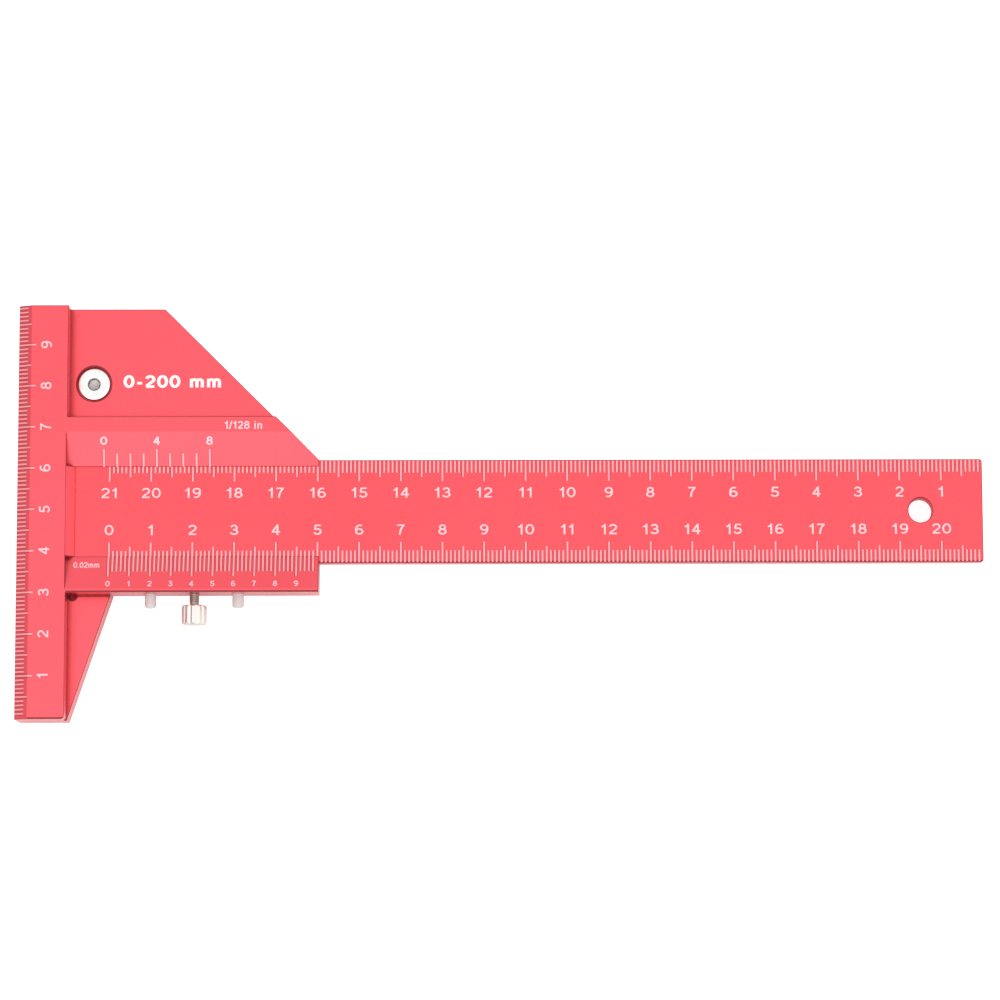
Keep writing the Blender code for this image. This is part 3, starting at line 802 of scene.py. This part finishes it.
def scaleLabels(labels, name, surface, turn=0.0):
    look = {**plainFigure, **figureSizes[name]}
    meshes = []
    for text, along in labels:
        if along is None:
            place = look["place"]
        else:
            place = (look["baseline"], along) if turn else (along, look["baseline"])
        meshes += labelMeshes(text, place, look, surface, turn)
    return meshes


def countFrom(start, pitch, numbers):
    return [(str(number), start + pitch * number) for number in numbers]


# Broken edges: the solids' own are narrow, and a chamfer mirrors the dark side of the room. So a thin
# dark strip runs along the top of each wall, widest on walls that face the near side.
# The strips are a painted dark reflection, laid where a chamfer would mirror the dark side of the room
edgeReflectionSizes = {
    "nearWidth": 0.42, "farWidth": 0.12, "height": 0.008, "weld": 0.001,
    # upward shares of a face's normal
    "level": 0.99, "flattest": 0.95, "steepest": 0.75, "undercut": -0.1,
}


def brokenEdgeMesh(node, sizes):
    source = bmesh.new()
    source.from_mesh(node.data)
    source.transform(node.matrix_world)
    bmesh.ops.remove_doubles(source, verts=source.verts, dist=sizes["weld"] * mm)
    source.normal_update()
    lines = bmesh.new()
    for edge in source.edges:
        if len(edge.link_faces) != 2 or not edge.is_convex:
            continue
        wall, top = sorted(edge.link_faces, key=lambda face: face.normal.z)
        if top.normal.z < sizes["flattest"] or not sizes["undercut"] <= wall.normal.z <= sizes["steepest"]:
            continue
        near, far = (vertex.co for vertex in edge.verts)
        inward = top.normal.cross(far - near).normalized()
        if inward.dot(top.calc_center_median() - near) < 0:
            inward = -inward
        # 1 where a level face ends at a wall that faces the near side
        share = max(0.0, inward.y) ** 2 if top.normal.z > sizes["level"] else 0.0
        width = (sizes["farWidth"] + (sizes["nearWidth"] - sizes["farWidth"]) * share) * mm
        up = top.normal * sizes["height"] * mm
        flat = [near, far, far + inward * width, near + inward * width]
        low = [lines.verts.new(point - up) for point in flat]
        high = [lines.verts.new(point + up) for point in flat]
        lines.faces.new(low)
        lines.faces.new(high)
        for corner in range(4):
            following = (corner + 1) % 4
            lines.faces.new((low[corner], low[following], high[following], high[corner]))
    bmesh.ops.recalc_face_normals(lines, faces=lines.faces)
    mesh = bpy.data.meshes.new("paintedEdgeReflections")
    # the strips take the red of the painted dark reflection
    mesh.materials.append(reds["paintedEdgeShading"])
    lines.to_mesh(mesh)
    source.free()
    lines.free()
    return mesh


zero, bladeNumbers, numberStep = levels["zeroLine"], 21, 10
bladeMeshes = graduationMeshes(graduationRows["blade"])
bladeMeshes.append(brokenEdgeMesh(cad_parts["ruler_blade"], edgeReflectionSizes))
bladeMeshes += scaleLabels(countFrom(zero, numberStep, range(bladeNumbers)), "bladeNear", bladeHeight)
countedBack = countFrom(zero + numberStep * bladeNumbers, -numberStep, range(bladeNumbers, 0, -1))
bladeMeshes += scaleLabels(countedBack, "bladeFar", bladeHeight)
bladeMarks = joinMeshes("bladeMarks", bladeMeshes)

headMeshes = graduationMeshes(graduationRows["head"])
headMeshes.append(brokenEdgeMesh(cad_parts["head_body"], edgeReflectionSizes))
fenceNumbers = countFrom(levels["fenceZero"], numberStep, range(1, 10))
headMeshes += scaleLabels(fenceNumbers, "fence", headHeight, math.pi / 2)
headMeshes += scaleLabels(countFrom(zero, numberStep / 2, range(10)), "metricVernier", headHeight)
eighths = countFrom(levels["inchZero"], levels["inchPitch"], (0, 4, 8))
headMeshes += scaleLabels(eighths, "inchVernier", headHeight)
for words, name in (("0.02mm", "metricWords"), ("1/128 in", "inchWords"), ("0-200 mm", "range")):
    headMeshes += scaleLabels([(words, None)], name, headHeight)
headMarks = joinMeshes("headMarks", headMeshes)
for mesh in figureStore.values():
    if mesh is not None:
        bpy.data.meshes.remove(mesh)
print("marks ready:", len(bladeMarks.data.polygons) + len(headMarks.data.polygons), "faces")


# A thread ridge as a Geometry Nodes tree: a spiral about Z that starts at Z = 0, thinned at both ends
def makeThreadTree():
    tree, given, made = newGroup(
        "threadRidge", "GeometryNodeTree",
        [
            ("Turns", "Float", 8.0),
            ("Points per turn", "Int", 24),
            ("Pitch", "Float", 0.5),
            ("Ridge centre", "Float", 1.0),
            ("Ridge size", "Float", 0.1),
            ("Thread start", "Vector", (0, 0, 0)),
            ("Thread turn", "Vector", (0, 0, 0)),
            ("Finish", "Material", None),
        ],
        [("Geometry", "Geometry")],
    )
    spiral = addNode(tree, "GeometryNodeCurveSpiral", {
        "Resolution": given["Points per turn"], "Rotations": given["Turns"],
        "Start Radius": given["Ridge centre"], "End Radius": given["Ridge centre"],
        "Height": mathNode(tree, "MULTIPLY", given["Turns"], given["Pitch"]),
    }).outputs[0]
    along = addNode(tree, "GeometryNodeSplineParameter").outputs["Factor"]
    fromEnd = mathNode(tree, "MINIMUM", along, mathNode(tree, "SUBTRACT", 1.0, along))
    taper = mathSteps(tree, fromEnd, ("MULTIPLY", given["Turns"]), ("MULTIPLY", 2.0, True))
    taper = mathNode(tree, "MAXIMUM", taper, 0.05)
    spiral = addNode(tree, "GeometryNodeSetCurveRadius", {"Curve": spiral, "Radius": taper}).outputs[0]
    spiral = addNode(tree, "GeometryNodeSetCurveNormal", {"Curve": spiral}, mode="Z_UP").outputs[0]
    outline = {"Resolution": 6, "Radius": given["Ridge size"]}
    outline = addNode(tree, "GeometryNodeCurvePrimitiveCircle", outline, mode="RADIUS").outputs[0]
    ridge = addNode(tree, "GeometryNodeCurveToMesh", {
        "Curve": spiral, "Profile Curve": outline, "Scale": taper, "Fill Caps": True,
    }).outputs[0]
    start, turn = given["Thread start"], given["Thread turn"]
    placed = placeShape(tree, ridge, start, turn, given["Finish"], smooth=True)
    setSockets(tree, made, {0: placed})
    return tree


threadTree = makeThreadTree()
alongY = (math.pi / 2, 0.0, 0.0)        # turns a thread's axis from Z to -Y


# Closed turned shape, from rings of (height, radius). A radius may be a function of the angle.
# bandFinishes gives the finish number of each band that doesn't take the first one.
def turnedShape(rings, steps, bandFinishes, turnBy=0.0):
    shape = bmesh.new()
    loops = []
    for level, radiusAt in rings:
        loop = []
        for step in range(steps):
            angle = 2 * math.pi * step / steps + turnBy
            radius = radiusAt(angle) if callable(radiusAt) else radiusAt
            loop.append(shape.verts.new((radius * math.cos(angle), radius * math.sin(angle), level)))
        loops.append(loop)
    for band, (near, far) in enumerate(zip(loops, loops[1:])):
        for step in range(steps):
            following = (step + 1) % steps
            face = shape.faces.new((near[step], near[following], far[following], far[step]))
            face.material_index = bandFinishes.get(band, 0)
    shape.faces.new(loops[0][::-1]).material_index = bandFinishes.get(0, 0)
    shape.faces.new(loops[-1]).material_index = bandFinishes.get(len(rings) - 2, 0)
    bmesh.ops.recalc_face_normals(shape, faces=shape.faces)
    return shape


sharpFrom = math.radians(30)


def shapeToMesh(name, shape, matrix, finishes):
    shape.transform(matrix)
    for face in shape.faces:
        face.smooth = True
    for edge in shape.edges:
        if edge.calc_face_angle(0.0) > sharpFrom:
            edge.smooth = False
    mesh = bpy.data.meshes.new(name)
    shape.to_mesh(mesh)
    shape.free()
    for finish in finishes:
        mesh.materials.append(finish)
    return mesh


# Thumb screw, in millimetres from its tip. Its axis lies along -Y.
thumbScrewSizes = {
    "x": 36.45, "z": 7.9, "tipY": -14.2,
    "core": 1.10, "tipChamfer": 0.3, "neckLength": 0.45, "neckRamp": 0.10, "neckDepth": 0.04,
    "threadRidge": 0.10, "pitch": 0.45, "threadFrom": 0.25, "unthreaded": 0.9,
    "knobStart": 8.3, "knobEnd": 12.9, "knobRadius": 3.02, "knobChamfer": 0.32,
    "shoulder": 0.25, "shoulderRise": 0.04,
    "flutes": 12, "stepsPerFlute": 12, "fluteDepth": 0.30, "fluteSharpness": 1.6,
    "dishRadius": 1.9, "dishLip": (0.08, 0.12), "dishDepth": 0.18, "dishSlope": 0.6, "dishCentre": 0.25,
}


def makeThumbScrew(sizes):
    start, end, radius = sizes["knobStart"], sizes["knobEnd"], sizes["knobRadius"]
    core, chamfer, dish = sizes["core"], sizes["knobChamfer"], sizes["dishRadius"]
    neck, neckStart = core - sizes["neckDepth"], start - sizes["neckLength"]

    def fluted(most):
        def radiusAt(angle):
            wave = 0.5 - 0.5 * math.cos(sizes["flutes"] * angle)
            return min(most, radius - sizes["fluteDepth"] * wave ** sizes["fluteSharpness"])
        return radiusAt

    rings = [
        (0.0, core - sizes["tipChamfer"]), (sizes["tipChamfer"], core),
        (neckStart - sizes["neckRamp"], core), (neckStart, neck), (start, neck),
    ]
    threadBands = len(rings) - 1
    rings.append((start, radius - chamfer - sizes["shoulder"]))
    rings.append((start + sizes["shoulderRise"], radius - chamfer))
    shares = (0.25, 0.5, 0.75, 1.0)
    rings += [(start + chamfer * share, fluted(radius - chamfer * (1 - share))) for share in shares]
    rings += [(end - chamfer * share, fluted(radius - chamfer * (1 - share))) for share in shares[::-1]]
    drop, inset = sizes["dishLip"]
    floor = end - sizes["dishDepth"]
    rings += [
        (end, radius - chamfer), (end, dish), (end - drop, dish - inset),
        (floor, dish - sizes["dishSlope"]), (floor, sizes["dishCentre"]),
    ]
    steps = sizes["flutes"] * sizes["stepsPerFlute"]
    shape = turnedShape(rings, steps, dict.fromkeys(range(threadBands), 1))
    place = Matrix.Translation(Vector((sizes["x"], sizes["tipY"], sizes["z"])) * mm)
    place = place @ Matrix.Rotation(math.pi / 2, 4, "X") @ Matrix.Scale(mm, 4)
    body = shapeToMesh("thumbScrewBody", shape, place, (metals["nickelPlate"], metals["shadedThreadNickel"]))
    thread = meshFromTree(threadTree, {
        "Turns": (start - sizes["unthreaded"]) / sizes["pitch"], "Pitch": sizes["pitch"],
        "Ridge centre": core, "Ridge size": sizes["threadRidge"],
        "Thread start": (sizes["x"], sizes["tipY"] - sizes["threadFrom"], sizes["z"]),
        "Thread turn": alongY, "Finish": metals["shadedThreadNickel"],
    })
    return joinMeshes("thumbScrew", [body, thread])


# Flat wide-head screw in the mitre plate, in millimetres from the resting plane
flatScrewSizes = {
    "x": 11.7, "y": 31.6, "steps": 72,
    "shankRadius": 1.95, "shankEnd": 0.4, "shankChamfer": 0.3,
    "headUnder": 4.9, "headTop": 6.45, "headRadius": 3.85, "headChamfer": 0.1,
    "rim": 0.22, "rimPoints": ((0.45, 0.18), (0.15, 0.5)),      # shares of the rim, down and inwards
    "hexAcross": 2.5, "hexDepth": 1.1, "mouth": 0.12, "hexTurn": 0.2,
    "drillDepth": 0.25, "drillRadius": 0.3,
}


def makeFlatScrew(sizes):
    def hexagon(angle):
        within = (angle - sizes["hexTurn"]) % (math.pi / 3) - math.pi / 6
        return sizes["hexAcross"] / 2 / math.cos(within)

    top, radius, rim = sizes["headTop"], sizes["headRadius"], sizes["rim"]
    under, shank, floor = sizes["headUnder"], sizes["shankRadius"], top - sizes["hexDepth"]
    corner = sizes["hexAcross"] / 2 / math.cos(math.pi / 6) + sizes["mouth"]
    rings = [
        (sizes["shankEnd"], shank - sizes["shankChamfer"]),
        (sizes["shankEnd"] + sizes["shankChamfer"], shank),
        (under, shank), (under, radius - sizes["headChamfer"]), (under + sizes["headChamfer"], radius),
        (top - rim, radius),
    ]
    rings += [(top - rim * down, radius - rim * inwards) for down, inwards in sizes["rimPoints"]]
    rings.append((top, radius - rim))
    mouth = len(rings)
    rings += [
        (top, corner), (top - sizes["mouth"], hexagon), (floor, hexagon),
        (floor - sizes["drillDepth"], sizes["drillRadius"]),
    ]
    shape = turnedShape(rings, sizes["steps"], {mouth: 1, mouth + 1: 1, mouth + 2: 2}, sizes["hexTurn"])
    place = Matrix.Translation(Vector((sizes["x"], sizes["y"], 0)) * mm) @ Matrix.Scale(mm, 4)
    finishes = (metals["brightScrewSteel"], metals["shadedSocketWalls"], metals["shadedSocketFloor"])
    return joinMeshes("flatScrew", [shapeToMesh("flatScrewBody", shape, place, finishes)])


# Threads of the nylon screws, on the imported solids
nylonThreadSizes = {
    "x": {"tension_screw_left": 25.95, "tension_screw_right": 46.95},
    "startY": -12.9, "endY": -22.9, "z": 7.9, "pitch": 0.5, "ridgeCentre": 1.36, "ridge": 0.09,
}


def makeNylonThread(body, sizes):
    mesh = meshFromTree(threadTree, {
        "Turns": (sizes["startY"] - sizes["endY"]) / sizes["pitch"], "Pitch": sizes["pitch"],
        "Ridge centre": sizes["ridgeCentre"], "Ridge size": sizes["ridge"],
        "Thread start": (sizes["x"][body], sizes["startY"], sizes["z"]), "Thread turn": alongY,
        "Finish": nylon,
    })
    return joinMeshes("nylonThread" + body.rsplit("_", 1)[1].capitalize(), [mesh])


thumbScrew = makeThumbScrew(thumbScrewSizes)
flatScrew = makeFlatScrew(flatScrewSizes)
print("screws ready")

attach(bladeMarks, "blade")
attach(headMarks, "head")
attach(thumbScrew, "lock_screw")
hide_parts("lock_screw")
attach(flatScrew, "head")
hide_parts("flat_head_screw")
for body in ("tension_screw_left", "tension_screw_right"):
    nylonThread = makeNylonThread(body, nylonThreadSizes)
    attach(nylonThread, body)
print("pieces ride on their bodies")


# Floor, light and camera, in metres
studioLook = {
    "floorReach": 3.0, "floorParts": 8, "floorGlow": 0.75, "glowInMetal": 0.05,
    "floor": {
        "Base Color": (0.86, 0.86, 0.86, 1), "Roughness": 0.9, "Specular IOR Level": 0.1,
        "Emission Color": (1, 1, 1, 1),
    },
    "horizon": 0.29, "zenith": 1.05, "eastShare": 0.8, "northShare": -0.12, "brightFrom": 0.87,
    "lampPower": 1.6, "lampSize": (1.2, 0.9), "lampPlace": (0.10, -0.35, 1.15), "lampTarget": (0.1, 0, 0),
}


def makeStudio(look):
    shape = bmesh.new()
    parts = look["floorParts"]
    bmesh.ops.create_grid(shape, x_segments=parts, y_segments=parts, size=look["floorReach"])
    mesh = bpy.data.meshes.new("studioFloor")
    shape.to_mesh(mesh)
    shape.free()
    floor = newObject("studioFloor", mesh)
    material, tree, shader = newMaterial("paleFloor", look["floor"])
    ray = addNode(tree, "ShaderNodeLightPath").outputs
    seenInMetal = mathNode(tree, "MAXIMUM", ray["Is Glossy Ray"], ray["Is Transmission Ray"])
    seenInMetal = mathNode(tree, "MULTIPLY", seenInMetal, look["glowInMetal"])
    glow = mathSteps(tree, ray["Is Camera Ray"], ("MULTIPLY", look["floorGlow"]), ("ADD", seenInMetal))
    setSockets(tree, shader, {"Emission Strength": glow})
    mesh.materials.append(material)

    world = bpy.data.worlds.new("studioWorld")
    rulerScene.world = world
    world.use_nodes = True
    tree = world.node_tree
    sky = addNode(tree, "ShaderNodeTexCoord").outputs["Generated"]
    up = addNode(tree, "ShaderNodeSeparateXYZ", {0: sky}).outputs
    # the room is paler towards the east, and a little darker towards the north
    toEast = mathSteps(tree, up["X"], ("MAXIMUM", 0.0), ("MULTIPLY", look["eastShare"]))
    toNorth = mathNode(tree, "MULTIPLY", up["Y"], look["northShare"])
    rise = addNode(tree, "ShaderNodeMapRange", {
        "Value": mathSteps(tree, up["Z"], ("ADD", toEast), ("ADD", toNorth)),
        "From Min": 0.0, "From Max": look["brightFrom"],
        "To Min": look["horizon"], "To Max": look["zenith"],
    }, interpolation_type="SMOOTHSTEP").outputs[0]
    setSockets(tree, tree.nodes["Background"], {"Color": (1, 1, 1, 1), "Strength": rise})

    lamp = bpy.data.lights.new("softbox", "AREA")
    lamp.energy = look["lampPower"]
    lamp.shape = "RECTANGLE"
    lamp.size, lamp.size_y = look["lampSize"]
    softbox = newObject("softbox", lamp)
    softbox.location = look["lampPlace"]
    aim = Vector(look["lampTarget"]) - softbox.location
    softbox.rotation_euler = aim.to_track_quat("-Z", "Y").to_euler()
    softbox.visible_camera = False

    rulerScene.view_settings.view_transform = "Standard"


cameraLook = {
    "place": (0.1070192, -0.1158455, 0.8428262), "turn": (0.1185, -0.0087, -0.0031), "clip": (0.01, 20.0),
    "lens": 126.0, "sensor": 36.0, "shift": (-0.02, 0.08),      # lens and sensor in millimetres
}


def makeCamera(look):
    lens = bpy.data.cameras.new("rulerCamera")
    lens.lens = look["lens"]
    lens.sensor_width = look["sensor"]
    lens.shift_x, lens.shift_y = look["shift"]
    lens.clip_start, lens.clip_end = look["clip"]
    camera = newObject("rulerCamera", lens)
    camera.location = look["place"]
    camera.rotation_euler = Euler(look["turn"], "XYZ")
    rulerScene.camera = camera


makeStudio(studioLook)
makeCamera(cameraLook)
print("studio ready")
